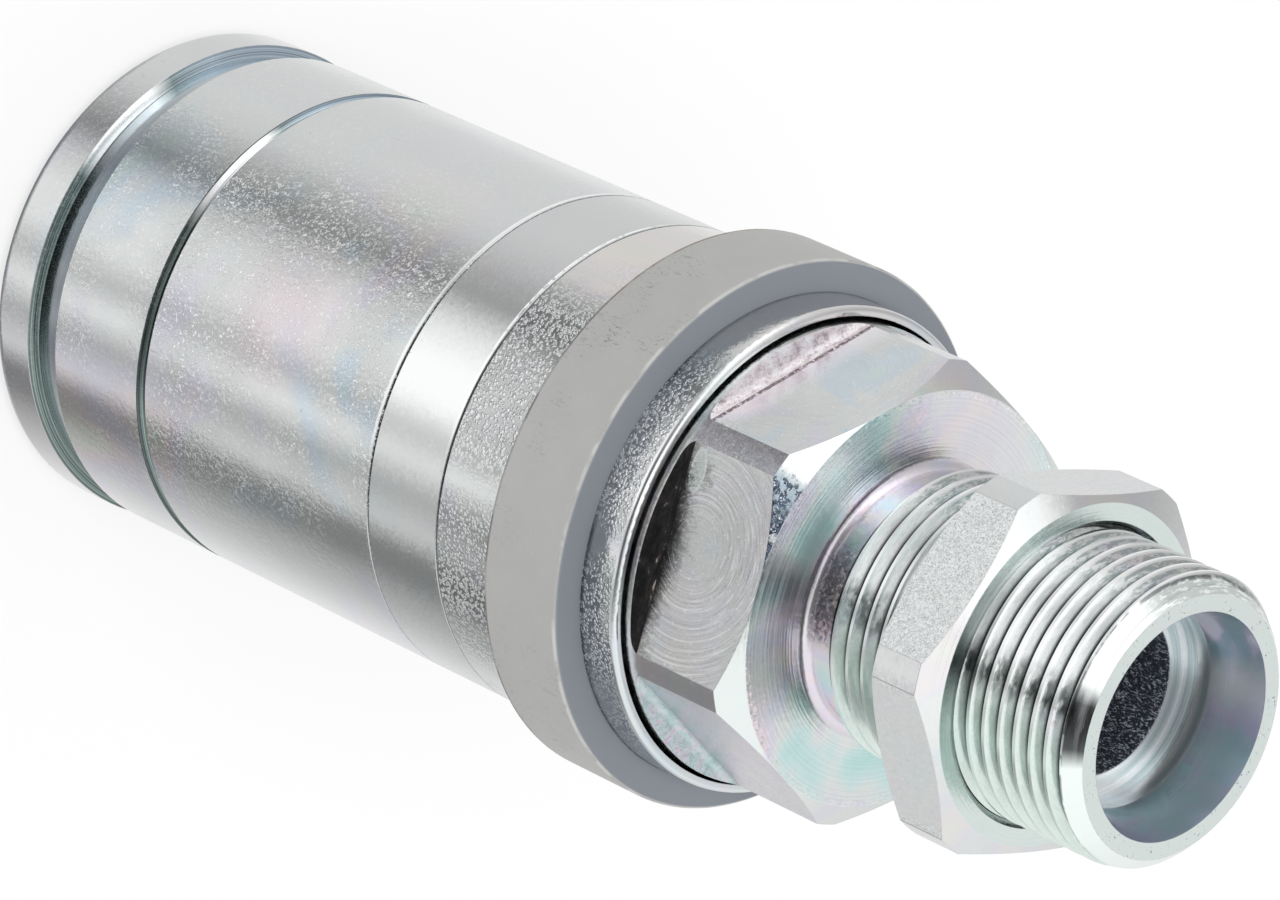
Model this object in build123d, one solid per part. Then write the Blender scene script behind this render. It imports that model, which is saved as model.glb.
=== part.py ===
from build123d import *
import os
from math import radians, sqrt, tan

# A push-pull hydraulic coupling socket, in millimetres.
# It stands on its socket mouth: Z runs from the mouth up to the threaded tube end,
# and the origin is the middle of the mouth face.

# Outer sleeve, whose radii are built up from the socket bore outwards
SLEEVE_WALL = 1.3
SPIGOT_WALL = 1.1
RIM_PROUD = 0.1
RIM_WIDTH = 4.25
RIM_ROUNDING = 1.2
RIM_GROOVE_DEPTH = 0.85
RIM_GROOVE_WALL = 0.35
RIM_TAPER_LENGTH = 2.7
RIM_TAPER_RISE = 0.6
LINE_GROOVE_FROM_RIM = 17.1
LINE_GROOVE_WIDTH = 0.9
LINE_GROOVE_DEPTH = 0.35
FRONT_SLEEVE_LENGTH = 43.4
BAND_LENGTH = 7.5
REAR_SLEEVE_LENGTH = 18.5
TAIL_STEP = 0.4
TAIL_WALL = 0.7
TAIL_LENGTH = 11.2
TAIL_ROUNDING = 0.4
RUBBER_WALL = 2.45
RUBBER_LENGTH = 7.7
RUBBER_EDGE = 0.25
SPIGOT_LENGTH = 11.1
SLEEVE_SETBACK = 0.4
SLEEVE_TRAVEL = 5.0
SEAM_CHAMFER = 0.12

# Dust seal in the spigot, which wipes the adapter
DUST_SEAL_WIDTH = 2.5
DUST_GROOVE_DEPTH = 1.0
DUST_SEAL_FROM_END = 2.5

# Socket for the probe of the mating half
BORE_D = 20.6
ENTRY_STEP = 0.3
ENTRY_LAND = 0.7
MOUTH_CHAMFER = 1.2
MOUTH_CHAMFER_ANGLE = 30.0
CAGE_WALL = 3.4
NOSE_LAND = 1.62
NOSE_CHAMFER = 0.6
BALL_D = 4.76
BALL_COUNT = 8
BALL_HOLE_CLEARANCE = 0.05
BALL_LIP = 0.2

# Locking ring and the springs that centre the sleeve
LAND_LENGTH = 4.2
BALL_RELIEF_DEPTH = 1.2
RING_LIP = 1.2
LOCK_RING_WALL = 1.4
LOCK_RING_SHOULDER = 0.7
CENTRING_WIRE = 1.6
CENTRING_LENGTH = 11.0
CENTRING_TURNS = 3.3
WASHER_THICKNESS = 1.2
WASHER_PLAY = 0.6
CLIP_THICKNESS = 1.2
CLIP_GAP = 4.0
NOSE_CLIP_GROOVE_DEPTH = 0.6
NOSE_CLIP_WIDTH = 2.1
RING_CLIP_GROOVE_DEPTH = 0.6
RING_CLIP_WIDTH = 1.4
FLANGE_LENGTH = 3.0
FLANGE_PLAY = 0.4

# Probe seal
SEAL_FROM_BALLS = 9.4
O_RING_SECTION = 2.62
BACKUP_THICKNESS = 1.2
SEAL_GROOVE_DEPTH = 2.2
SEAL_SIDE_PLAY = 0.1
SEAL_LAND = 2.98

# Valve
THROAT_STEP = 2.5
THROAT_LENGTH = 2.0
CHAMBER_STEP = 0.7
VALVE_TRAVEL = 5.0
NOSE_PLAY = 0.5
NOSE_REACH = 3.0
SEAL_CARRIER_STEP = 0.3
VALVE_SEAL_SECTION = 1.8
VALVE_HEAD_PLAY = 1.4
VALVE_HEAD_THICKNESS = 2.2
STUD_D = 5.0
STUD_LENGTH = 3.0
STEM_D = 6.0
STEM_END_PLAY = 1.3
VALVE_WIRE = 1.2
VALVE_COIL_D = 11.2
VALVE_TURNS = 3.4
GUIDE_RIM_THICKNESS = 2.0
GUIDE_RIM_WIDTH = 1.6
GUIDE_HUB_D = 9.2
GUIDE_HUB_LENGTH = 6.0
GUIDE_ARM_WIDTH = 2.4
GUIDE_ARMS = 3

# Joint of the two body halves
JOINT_WALL = 2.5
JOINT_LENGTH = 10.0
JOINT_SEAL_SECTION = 1.3
JOINT_SEAL_FROM_END = 2.4

# Adapter with its milled hexagon, bulkhead thread and 24 degree tube cone
MILL_DEPTH = 1.9
HEX_SHOULDER_PROUD = 0.7
HEX_LENGTH = 9.9
HEX_CHAMFER_DEPTH = 1.85
HEX_CHAMFER_LENGTH = 1.4
MILL_FILLET = 0.6
OUTLET_STEP = 1.5
OUTLET_END_PLAY = 2.7
THREAD_D = 22.0
END_FACE_WIDTH = 1.3
CONE_ANGLE = 24.0
CONE_LENGTH = 4.47
TUBE_SEAT_LENGTH = 2.53
TUBE_SEAT_SHOULDER = 1.55
NECK_DEPTH = 1.25
NECK_LENGTH = 2.9
NECK_FILLET = 0.9
STEM_THREAD_LENGTH = 24.4
LEAD_CHAMFER = 1.2

# Lock nut on the bulkhead thread
NUT_WALL = 2.3
NUT_CORNER_STEP = 1.45
NUT_FACE_STEP = 0.5
NUT_THICKNESS = 6.0
NUT_FROM_FACE = 10.4
NUT_CHAMFER_ANGLE = 25.0
NUT_COUNTERSINK = 0.4
NUT_TURN = 34.6

# Named clearances
RUNNING = 0.05
SLIDING_GAP = 0.3
SPRING_GAP = 0.1
STATIC_SEAL_GAP = 0.04
SOFT_GAP = 0.3
EXTRA = 2.0

# Radii that follow, from the socket bore outwards
bore_r = BORE_D / 2
entry_r = bore_r + ENTRY_STEP
cage_r = bore_r + CAGE_WALL
ball_r = BALL_D / 2
land_r = cage_r + SLIDING_GAP
relief_r = land_r + BALL_RELIEF_DEPTH
lock_ring_r = relief_r + LOCK_RING_WALL
rear_bore_r = lock_ring_r - LOCK_RING_SHOULDER
flange_r = rear_bore_r - FLANGE_PLAY
dust_groove_r = rear_bore_r + DUST_GROOVE_DEPTH
spigot_r = lock_ring_r + SPIGOT_WALL
sleeve_r = spigot_r + SLEEVE_WALL
rim_r = sleeve_r + RIM_PROUD
tail_r = sleeve_r - TAIL_STEP
tail_bore_r = tail_r - TAIL_WALL
rubber_r = tail_r + RUBBER_WALL
bar_r = tail_bore_r - SLIDING_GAP
flat_r = bar_r - MILL_DEPTH
hex_face_r = bar_r - HEX_CHAMFER_DEPTH
nose_clip_r = cage_r - NOSE_CLIP_GROOVE_DEPTH
ring_clip_r = lock_ring_r + RING_CLIP_GROOVE_DEPTH
centring_coil_d = 2 * (cage_r + SLIDING_GAP) + CENTRING_WIRE

# Radii of the valve and of the joint of the two body halves
seal_groove_r = bore_r + SEAL_GROOVE_DEPTH
throat_r = bore_r - THROAT_STEP
chamber_r = bore_r + CHAMBER_STEP
guide_r = chamber_r + GUIDE_RIM_WIDTH
joint_r = chamber_r + JOINT_WALL
joint_groove_r = joint_r - JOINT_SEAL_SECTION - 2 * STATIC_SEAL_GAP
outlet_r = chamber_r - OUTLET_STEP
nose_r = throat_r - NOSE_PLAY
carrier_r = nose_r - SEAL_CARRIER_STEP
head_r = chamber_r - VALVE_HEAD_PLAY
stud_r = STUD_D / 2
stem_r = STEM_D / 2

# Radii of the tube end and its lock nut, from the thread inwards and outwards
thread_r = THREAD_D / 2
neck_r = thread_r - NECK_DEPTH
cone_mouth_r = thread_r - LEAD_CHAMFER - END_FACE_WIDTH
tube_r = cone_mouth_r - CONE_LENGTH * tan(radians(CONE_ANGLE / 2))
tube_bore_r = tube_r - TUBE_SEAT_SHOULDER
nut_bore_r = thread_r + RUNNING
nut_flat_r = thread_r + NUT_WALL
nut_corner_r = nut_flat_r + NUT_CORNER_STEP
nut_face_r = nut_flat_r - NUT_FACE_STEP

# Heights of the sleeve
rim_z = SLEEVE_SETBACK
seam_a_z = rim_z + FRONT_SLEEVE_LENGTH
seam_b_z = seam_a_z + BAND_LENGTH
sleeve_end_z = seam_b_z + REAR_SLEEVE_LENGTH
tail_z = sleeve_end_z - TAIL_LENGTH
spigot_end_z = seam_a_z + SPIGOT_LENGTH
dust_groove_z = spigot_end_z - DUST_SEAL_FROM_END - DUST_SEAL_WIDTH

# Heights of the stack on the socket body, from the mouth upwards
relief_length = SLEEVE_TRAVEL + ball_r - LAND_LENGTH / 2
lock_ring_length = LAND_LENGTH + 2 * relief_length + 2 * RING_LIP
nose_clip_z = NOSE_LAND
washer_z = nose_clip_z + CLIP_THICKNESS
washer_top_z = washer_z + WASHER_THICKNESS
lock_ring_z = washer_top_z + CENTRING_LENGTH
ring_clip_z = lock_ring_z - CLIP_THICKNESS
ball_row_z = lock_ring_z + lock_ring_length / 2
lock_ring_top_z = lock_ring_z + lock_ring_length
flange_z = lock_ring_top_z + CENTRING_LENGTH
adapter_z = flange_z + FLANGE_LENGTH
socket_end_z = adapter_z + JOINT_LENGTH
joint_seal_z = socket_end_z - JOINT_SEAL_FROM_END
guide_top_z = socket_end_z + GUIDE_RIM_THICKNESS

# Heights in the bore, from the balls to the valve
entry_end_z = ball_row_z - ball_r - ENTRY_LAND
seal_groove_z = ball_row_z + SEAL_FROM_BALLS
seal_groove_width = O_RING_SECTION + BACKUP_THICKNESS + 2 * SEAL_SIDE_PLAY
seal_groove_top_z = seal_groove_z + seal_groove_width
bore_end_z = seal_groove_top_z + SEAL_LAND
seat_z = bore_end_z + THROAT_LENGTH
seat_top_z = seat_z + chamber_r - throat_r
nose_z = bore_end_z - NOSE_REACH
carrier_z = seat_z + 2 * SLIDING_GAP
carrier_top_z = carrier_z + VALVE_SEAL_SECTION + 2 * SPRING_GAP
head_top_z = carrier_top_z + VALVE_HEAD_THICKNESS
stud_end_z = carrier_z + STUD_LENGTH
stem_end_z = socket_end_z + GUIDE_HUB_LENGTH + STEM_END_PLAY

# Heights of the adapter and its nut
bar_z = spigot_end_z + SLEEVE_TRAVEL + SLIDING_GAP
outlet_z = stem_end_z + VALVE_TRAVEL + OUTLET_END_PLAY
shoulder_z = sleeve_end_z + HEX_SHOULDER_PROUD
face_z = shoulder_z + HEX_LENGTH
end_z = face_z + NECK_LENGTH + STEM_THREAD_LENGTH
cone_z = end_z - CONE_LENGTH
tube_seat_z = cone_z - TUBE_SEAT_LENGTH
nut_z = face_z + NUT_FROM_FACE
nut_top_z = nut_z + NUT_THICKNESS


def turned(*points):
    """A solid turned about Z, from its half section as (radius, height) points."""
    outline = Polyline(*[(r, 0, z) for r, z in points], close=True)
    return revolve(make_face(outline), Axis.Z)


def ring(inner_r, outer_r, low_z, high_z):
    """A plain ring with a square section."""
    return turned((inner_r, low_z), (outer_r, low_z), (outer_r, high_z), (inner_r, high_z))


def o_ring(middle_r, section_r, middle_z):
    """A ring with a round section."""
    return Pos(0, 0, middle_z) * Torus(middle_r, section_r)


def round_edges(solid, radius, height):
    """The circular edges of a solid at one radius and height."""
    def wanted(edge):
        box = edge.bounding_box()
        level = abs(box.min.Z - height) < 0.01 and abs(box.max.Z - height) < 0.01
        return level and edge.geom_type == GeomType.CIRCLE and abs(edge.radius - radius) < 0.01
    return solid.edges().filter_by(wanted)


def coil_spring(coil_d, wire_d, low_z, length, turns):
    """A compression spring of round wire whose ends are ground flat."""
    path = Helix(pitch=length / turns, height=length, radius=coil_d / 2)
    start = Plane(origin=path @ 0, z_dir=path % 0)
    wire = sweep(start * Circle(wire_d / 2), path=path, is_frenet=True)
    slab = Cylinder(coil_d, length, align=(Align.CENTER, Align.CENTER, Align.MIN))
    return Pos(0, 0, low_z) * (wire & slab)


def hexagon_prism(flat_radius, low_z, high_z, turn):
    """A hexagonal prism, flat_radius from its axis to its flats, with a corner at the given angle from +X."""
    outline = RegularPolygon(flat_radius, 6, major_radius=False, rotation=turn)
    return Pos(0, 0, low_z) * extrude(outline, high_z - low_z)


def split_clip(inner_r, outer_r, low_z):
    """A retaining ring with a gap, so that it can be sprung into its groove."""
    gap = Box(2 * outer_r, CLIP_GAP, 2 * CLIP_THICKNESS, align=(Align.MIN, Align.CENTER, Align.CENTER))
    return ring(inner_r, outer_r, low_z, low_z + CLIP_THICKNESS) - Pos(0, 0, low_z) * gap


def make_front_sleeve():
    """The long front sleeve with its rim, two grooves and the spigot behind the seam."""
    groove_r = rim_r - RIM_GROOVE_DEPTH
    groove_z = rim_z + RIM_WIDTH
    taper_z = groove_z + RIM_GROOVE_WALL
    line_z = rim_z + LINE_GROOVE_FROM_RIM
    sleeve = turned(
        (lock_ring_r + MOUTH_CHAMFER / 2, rim_z),
        (rim_r, rim_z),
        (rim_r, groove_z),
        (groove_r, taper_z),
        (groove_r + RIM_TAPER_RISE, taper_z + RIM_TAPER_LENGTH),
        (sleeve_r, taper_z + RIM_TAPER_LENGTH + SEAM_CHAMFER),
        (sleeve_r, line_z),
        (sleeve_r - LINE_GROOVE_DEPTH, line_z + LINE_GROOVE_WIDTH / 3),
        (sleeve_r, line_z + LINE_GROOVE_WIDTH),
        (sleeve_r, seam_a_z - SEAM_CHAMFER),
        (sleeve_r - SEAM_CHAMFER, seam_a_z),
        (spigot_r, seam_a_z),
        (spigot_r, spigot_end_z),
        (rear_bore_r, spigot_end_z),
        (rear_bore_r, lock_ring_top_z),
        (lock_ring_r, lock_ring_top_z),
        (lock_ring_r, lock_ring_z),
        (ring_clip_r, lock_ring_z),
        (ring_clip_r, ring_clip_z),
        (lock_ring_r, ring_clip_z),
        (lock_ring_r, rim_z + MOUTH_CHAMFER / 2),
    )
    sleeve -= ring(rear_bore_r, dust_groove_r, dust_groove_z, dust_groove_z + DUST_SEAL_WIDTH)
    return fillet(round_edges(sleeve, rim_r, rim_z), RIM_ROUNDING)


def make_dust_seal():
    """A flat sided rubber ring with a lip, seated in the groove of the spigot."""
    lip_r = flange_r + SOFT_GAP
    middle_z = dust_groove_z + DUST_SEAL_WIDTH / 2
    return turned(
        (lip_r, middle_z - DUST_SEAL_WIDTH / 5),
        (rear_bore_r, dust_groove_z + SPRING_GAP),
        (dust_groove_r, dust_groove_z + SPRING_GAP),
        (dust_groove_r, dust_groove_z + DUST_SEAL_WIDTH - SPRING_GAP),
        (rear_bore_r, dust_groove_z + DUST_SEAL_WIDTH - SPRING_GAP),
        (lip_r, middle_z + DUST_SEAL_WIDTH / 5),
    )


def make_sleeve_band():
    """The plain ring that is clamped between the two halves of the sleeve."""
    return turned(
        (spigot_r, seam_a_z),
        (sleeve_r - SEAM_CHAMFER, seam_a_z),
        (sleeve_r, seam_a_z + SEAM_CHAMFER),
        (sleeve_r, seam_b_z - SEAM_CHAMFER),
        (sleeve_r - SEAM_CHAMFER, seam_b_z),
        (spigot_r, seam_b_z),
    )


def make_rear_sleeve():
    """The rear sleeve, screwed on the spigot, with the reduced tail that holds the rubber ring."""
    sleeve = turned(
        (spigot_r, seam_b_z),
        (sleeve_r - SEAM_CHAMFER, seam_b_z),
        (sleeve_r, seam_b_z + SEAM_CHAMFER),
        (sleeve_r, tail_z),
        (tail_r, tail_z),
        (tail_r, sleeve_end_z),
        (tail_bore_r, sleeve_end_z),
        (tail_bore_r, spigot_end_z),
        (spigot_r, spigot_end_z),
    )
    return fillet(round_edges(sleeve, tail_r, sleeve_end_z), TAIL_ROUNDING)


def make_rubber_ring():
    """The rubber ring that is stretched over the tail of the rear sleeve."""
    top_z = tail_z + RUBBER_LENGTH
    return turned(
        (tail_r, tail_z),
        (rubber_r - RUBBER_EDGE, tail_z),
        (rubber_r, tail_z + RUBBER_EDGE),
        (rubber_r, top_z - RUBBER_EDGE),
        (rubber_r - RUBBER_EDGE, top_z),
        (tail_r, top_z),
    )


def make_locking_ring():
    """The ring that holds the balls in under its land and frees them over its two reliefs."""
    ramp = BALL_RELIEF_DEPTH
    land_low = ball_row_z - LAND_LENGTH / 2
    land_high = ball_row_z + LAND_LENGTH / 2
    return turned(
        (land_r, lock_ring_z),
        (lock_ring_r, lock_ring_z),
        (lock_ring_r, lock_ring_top_z),
        (land_r, lock_ring_top_z),
        (land_r, lock_ring_top_z - RING_LIP),
        (relief_r, lock_ring_top_z - RING_LIP),
        (relief_r, land_high + ramp),
        (land_r, land_high),
        (land_r, land_low),
        (relief_r, land_low - ramp),
        (relief_r, lock_ring_z + RING_LIP),
        (land_r, lock_ring_z + RING_LIP),
    )


def make_locking_ring_clip():
    """The retaining ring that keeps the locking ring against its shoulder in the sleeve."""
    return split_clip(ring_clip_r - RING_CLIP_WIDTH, ring_clip_r, ring_clip_z)


def make_nose_clip():
    """The retaining ring near the mouth that holds the washer on the socket body."""
    return split_clip(nose_clip_r, nose_clip_r + NOSE_CLIP_WIDTH, nose_clip_z)


def make_nose_washer():
    """The washer that the front spring pushes against."""
    return ring(cage_r, lock_ring_r - WASHER_PLAY, washer_z, washer_top_z)


def ball_hole():
    """The tool that drills one ball hole: straight outside, with a lip that keeps the ball in."""
    hole_r = ball_r + BALL_HOLE_CLEARANCE
    lip_r = hole_r - BALL_LIP
    lip_from = bore_r - 2 * BALL_LIP
    straight_from = bore_r + 2 * BALL_LIP
    tool = turned(
        (0, lip_from - EXTRA),
        (lip_r, lip_from - EXTRA),
        (lip_r, lip_from),
        (hole_r, straight_from),
        (hole_r, cage_r + EXTRA),
        (0, cage_r + EXTRA),
    )
    return Pos(0, 0, ball_row_z) * Rot(0, 90, 0) * tool


def around(count, shape):
    """Copies of a shape, evenly spaced about Z."""
    return [Rot(0, 0, 360 / count * i) * shape for i in range(count)]


def make_locking_balls():
    """The row of balls, each just inside the outer face of the socket body."""
    ball = Pos(cage_r - ball_r, 0, ball_row_z) * Sphere(ball_r)
    return Compound(children=around(BALL_COUNT, ball))


def make_socket_body():
    """The front half of the body: the socket, ball holes, seal groove, valve seat and thread."""
    joint_groove = JOINT_SEAL_SECTION / 2 + SPRING_GAP
    body = turned(
        (entry_r + MOUTH_CHAMFER, 0),
        (cage_r - NOSE_CHAMFER, 0),
        (cage_r, NOSE_CHAMFER),
        (cage_r, nose_clip_z),
        (nose_clip_r, nose_clip_z),
        (nose_clip_r, washer_z),
        (cage_r, washer_z),
        (cage_r, flange_z),
        (flange_r, flange_z),
        (flange_r, adapter_z),
        (joint_r, adapter_z),
        (joint_r, joint_seal_z - joint_groove),
        (joint_groove_r, joint_seal_z - joint_groove),
        (joint_groove_r, joint_seal_z + joint_groove),
        (joint_r, joint_seal_z + joint_groove),
        (joint_r, socket_end_z),
        (chamber_r, socket_end_z),
        (chamber_r, seat_top_z),
        (throat_r, seat_z),
        (throat_r, bore_end_z),
        (bore_r, bore_end_z),
        (bore_r, seal_groove_top_z),
        (seal_groove_r, seal_groove_top_z),
        (seal_groove_r, seal_groove_z),
        (bore_r, seal_groove_z),
        (bore_r, entry_end_z + ENTRY_STEP),
        (entry_r, entry_end_z),
        (entry_r, MOUTH_CHAMFER / tan(radians(MOUTH_CHAMFER_ANGLE))),
    )
    for tool in around(BALL_COUNT, ball_hole()):
        body -= tool
    return body


def make_probe_o_ring():
    """The O-ring that seals on the probe."""
    section_r = O_RING_SECTION / 2
    middle_r = seal_groove_r - STATIC_SEAL_GAP - section_r
    return o_ring(middle_r, section_r, seal_groove_z + SEAL_SIDE_PLAY + section_r)


def make_probe_backup_ring():
    """The hard ring that keeps the O-ring from being pushed out of its groove."""
    low_z = seal_groove_z + SEAL_SIDE_PLAY + O_RING_SECTION + STATIC_SEAL_GAP
    return ring(bore_r + SPRING_GAP, seal_groove_r - STATIC_SEAL_GAP, low_z, low_z + BACKUP_THICKNESS)


def make_joint_o_ring():
    """The O-ring that seals the joint of the two body halves."""
    middle_r = joint_groove_r + STATIC_SEAL_GAP + JOINT_SEAL_SECTION / 2
    return o_ring(middle_r, JOINT_SEAL_SECTION / 2, joint_seal_z)


def make_valve_nose():
    """The front end of the valve, which the probe's own valve pushes, with its stud."""
    lip_r = throat_r + (carrier_z - seat_z) - sqrt(2) * SLIDING_GAP
    return turned(
        (0, nose_z),
        (nose_r - MOUTH_CHAMFER, nose_z),
        (nose_r, nose_z + MOUTH_CHAMFER),
        (nose_r, seat_z),
        (lip_r, carrier_z),
        (stud_r, carrier_z),
        (stud_r, stud_end_z),
        (0, stud_end_z),
    )


def make_valve_poppet():
    """The valve head and stem, with a tapped hole for the nose's stud."""
    return turned(
        (stud_r, carrier_z),
        (carrier_r, carrier_z),
        (carrier_r, carrier_top_z),
        (head_r, carrier_top_z),
        (head_r, head_top_z),
        (stem_r, head_top_z),
        (stem_r, stem_end_z),
        (0, stem_end_z),
        (0, stud_end_z),
        (stud_r, stud_end_z),
    )


def make_valve_seal():
    """The sealing ring held between the nose and the head."""
    section_r = VALVE_SEAL_SECTION / 2
    middle_z = (carrier_z + carrier_top_z) / 2
    return o_ring(carrier_r + STATIC_SEAL_GAP + section_r, section_r, middle_z)


def make_valve_guide():
    """The spider that guides the stem, clamped between the two body halves."""
    guide = ring(chamber_r - GUIDE_RIM_WIDTH, guide_r, socket_end_z, guide_top_z)
    hub = ring(0, GUIDE_HUB_D / 2, socket_end_z, socket_end_z + GUIDE_HUB_LENGTH)
    arm_length = chamber_r - GUIDE_RIM_WIDTH / 2
    arm = Box(arm_length, GUIDE_ARM_WIDTH, GUIDE_RIM_THICKNESS, align=(Align.MIN, Align.CENTER, Align.MIN))
    guide += hub
    for piece in around(GUIDE_ARMS, Pos(0, 0, socket_end_z) * arm):
        guide += piece
    bore = Cylinder(stem_r + RUNNING, 2 * GUIDE_HUB_LENGTH)
    return guide - Pos(0, 0, socket_end_z + GUIDE_HUB_LENGTH) * bore - Pos(0, 0, socket_end_z) * bore


def milled_flat():
    """The tool that mills one flat of the hexagon, with the fillet of its corner."""
    depth = bar_r
    width = 2 * bar_r
    height = HEX_LENGTH + EXTRA
    tool = Box(depth, width, height, align=(Align.MIN, Align.CENTER, Align.MIN))
    foot = tool.edges().filter_by(Axis.Y).sort_by(lambda e: e.center().X + e.center().Z)[0]
    tool = fillet(foot, MILL_FILLET)
    return Pos(flat_r, 0, shoulder_z) * tool


def make_adapter_body():
    """The rear half of the body: milled hexagon, neck, bulkhead thread and tube cone."""
    crest_z = face_z + NECK_LENGTH
    body = turned(
        (joint_r, adapter_z),
        (flange_r, adapter_z),
        (flange_r, bar_z),
        (bar_r - NOSE_CHAMFER, bar_z),
        (bar_r, bar_z + NOSE_CHAMFER),
        (bar_r, face_z - HEX_CHAMFER_LENGTH),
        (hex_face_r, face_z),
        (neck_r, face_z),
        (neck_r, crest_z - NECK_DEPTH / 2),
        (thread_r, crest_z + NECK_DEPTH / 2),
        (thread_r, end_z - LEAD_CHAMFER),
        (thread_r - LEAD_CHAMFER, end_z),
        (cone_mouth_r, end_z),
        (tube_r, cone_z),
        (tube_r, tube_seat_z),
        (tube_bore_r, tube_seat_z),
        (tube_bore_r, outlet_z + (outlet_r - tube_bore_r) / 2),
        (outlet_r, outlet_z),
        (outlet_r, guide_top_z),
        (guide_r, guide_top_z),
        (guide_r, socket_end_z),
        (joint_r, socket_end_z),
    )
    body = fillet(round_edges(body, neck_r, face_z), NECK_FILLET)
    for i in range(6):
        body -= Rot(0, 0, 30 + 60 * i) * milled_flat()
    return body


def make_lock_nut():
    """The hexagonal lock nut, turned to a chamfer on both faces."""
    rise = (nut_corner_r - nut_face_r) * tan(radians(NUT_CHAMFER_ANGLE))
    blank = turned(
        (nut_bore_r + NUT_COUNTERSINK, nut_z),
        (nut_face_r, nut_z),
        (nut_corner_r, nut_z + rise),
        (nut_corner_r, nut_top_z - rise),
        (nut_face_r, nut_top_z),
        (nut_bore_r + NUT_COUNTERSINK, nut_top_z),
        (nut_bore_r, nut_top_z - NUT_COUNTERSINK),
        (nut_bore_r, nut_z + NUT_COUNTERSINK),
    )
    return blank & hexagon_prism(nut_flat_r, nut_z - EXTRA, nut_top_z + EXTRA, NUT_TURN)


parts = {
    "front_sleeve": make_front_sleeve(),
    "sleeve_band": make_sleeve_band(),
    "rear_sleeve": make_rear_sleeve(),
    "rubber_ring": make_rubber_ring(),
    "locking_ring": make_locking_ring(),
    "locking_ring_clip": make_locking_ring_clip(),
    "dust_seal": make_dust_seal(),
    "socket_body": make_socket_body(),
    "nose_clip": make_nose_clip(),
    "nose_washer": make_nose_washer(),
    "locking_balls": make_locking_balls(),
    "probe_o_ring": make_probe_o_ring(),
    "probe_backup_ring": make_probe_backup_ring(),
    "joint_o_ring": make_joint_o_ring(),
    "front_spring": coil_spring(
        centring_coil_d, CENTRING_WIRE, washer_top_z, CENTRING_LENGTH, CENTRING_TURNS
    ),
    "rear_spring": coil_spring(
        centring_coil_d, CENTRING_WIRE, lock_ring_top_z, CENTRING_LENGTH, CENTRING_TURNS
    ),
    "valve_nose": make_valve_nose(),
    "valve_poppet": make_valve_poppet(),
    "valve_seal": make_valve_seal(),
    "valve_spring": coil_spring(
        VALVE_COIL_D, VALVE_WIRE, head_top_z, socket_end_z - head_top_z, VALVE_TURNS
    ),
    "valve_guide": make_valve_guide(),
    "adapter_body": make_adapter_body(),
    "lock_nut": make_lock_nut(),
}

os.makedirs("parts", exist_ok=True)
for name, part in parts.items():
    export_step(part, os.path.join("parts", name + ".step"))
    print(name, round(part.volume), "cubic mm")
print("overall length", round(end_z, 2))
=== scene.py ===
from math import cos, hypot, pi, radians, sin

import bmesh
import bpy
from mathutils import Matrix


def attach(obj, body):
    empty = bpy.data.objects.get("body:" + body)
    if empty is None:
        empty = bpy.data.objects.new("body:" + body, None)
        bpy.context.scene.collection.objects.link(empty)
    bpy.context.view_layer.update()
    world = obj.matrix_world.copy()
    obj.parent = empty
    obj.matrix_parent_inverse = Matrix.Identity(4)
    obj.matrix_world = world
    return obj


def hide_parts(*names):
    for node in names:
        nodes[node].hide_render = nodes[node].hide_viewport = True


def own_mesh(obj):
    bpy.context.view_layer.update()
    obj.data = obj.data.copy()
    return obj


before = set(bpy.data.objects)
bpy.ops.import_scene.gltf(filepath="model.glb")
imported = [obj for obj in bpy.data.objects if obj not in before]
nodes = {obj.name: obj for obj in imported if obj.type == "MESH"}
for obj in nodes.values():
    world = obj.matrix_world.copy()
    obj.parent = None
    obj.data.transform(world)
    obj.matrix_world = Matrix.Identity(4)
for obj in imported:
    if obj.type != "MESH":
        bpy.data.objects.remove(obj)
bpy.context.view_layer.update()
scene = bpy.context.scene

# The looks of the push-pull coupling: zinc plated steel, a grey rubber ring, a cut thread.
# The sizes below and lengths named _mm are in millimetres, and become metres where they are used.
# Arcs are in degrees from +X towards +Y. Colours are linear.
MM = 0.001

# heights of the sleeve's forms, from the mouth up
RIM_TOP = 4.68
WALL_TOP = 5.08
TAPER_TOP = 7.72
GROOVE_LOW = 17.44
GROOVE_TOP = 18.44
BAND_LOW = 43.8
BAND_TOP = 51.3
RUBBER_LOW = 58.6
RUBBER_TOP = 66.3
SLEEVE_TOP = 69.8

# the milled hexagon
SHOULDER_Z = 70.5
SHOULDER_TOP = 71.2
CHAMFER_LOW = 78.6
FACE_Z = 80.4
FLAT_R = 15.7
BAR_R = 17.6
FLATS = 6

# the bulkhead thread and the tube end
NECK_R = 9.75
THREAD_LOW = 82.675
THREAD_R = 11.0
THREAD_PITCH = 1.5
THREAD_DEPTH = 0.92
LEAD = 1.2
END_Z = 107.7
LEAD_Z = END_Z - LEAD
CONE_MOUTH_R = 8.5
CONE_LOW = 103.23
SEAT_R = 7.55
SEAT_LOW = 100.7
BORE_R = 6.0

# everything of the adapter within this radius is inside the tube end
INNER_R = 9.5

NUT_CORNER_R = 14.71

# colours that come back
NEUTRAL = (0.700, 0.725, 0.715)
PINK = (0.790, 0.680, 0.710)
LAVENDER = (0.680, 0.660, 0.790)
BLUE = (0.560, 0.680, 0.790)
MINT = (0.560, 0.740, 0.690)
STRAW = (0.770, 0.760, 0.690)
# WHITE is the colour of painted highlights and painted glints
WHITE = (0.97, 0.98, 0.98)
SEAM = (0.06, 0.07, 0.08)


# ---- camera: the photograph's own viewing angle, lens and roll

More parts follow.
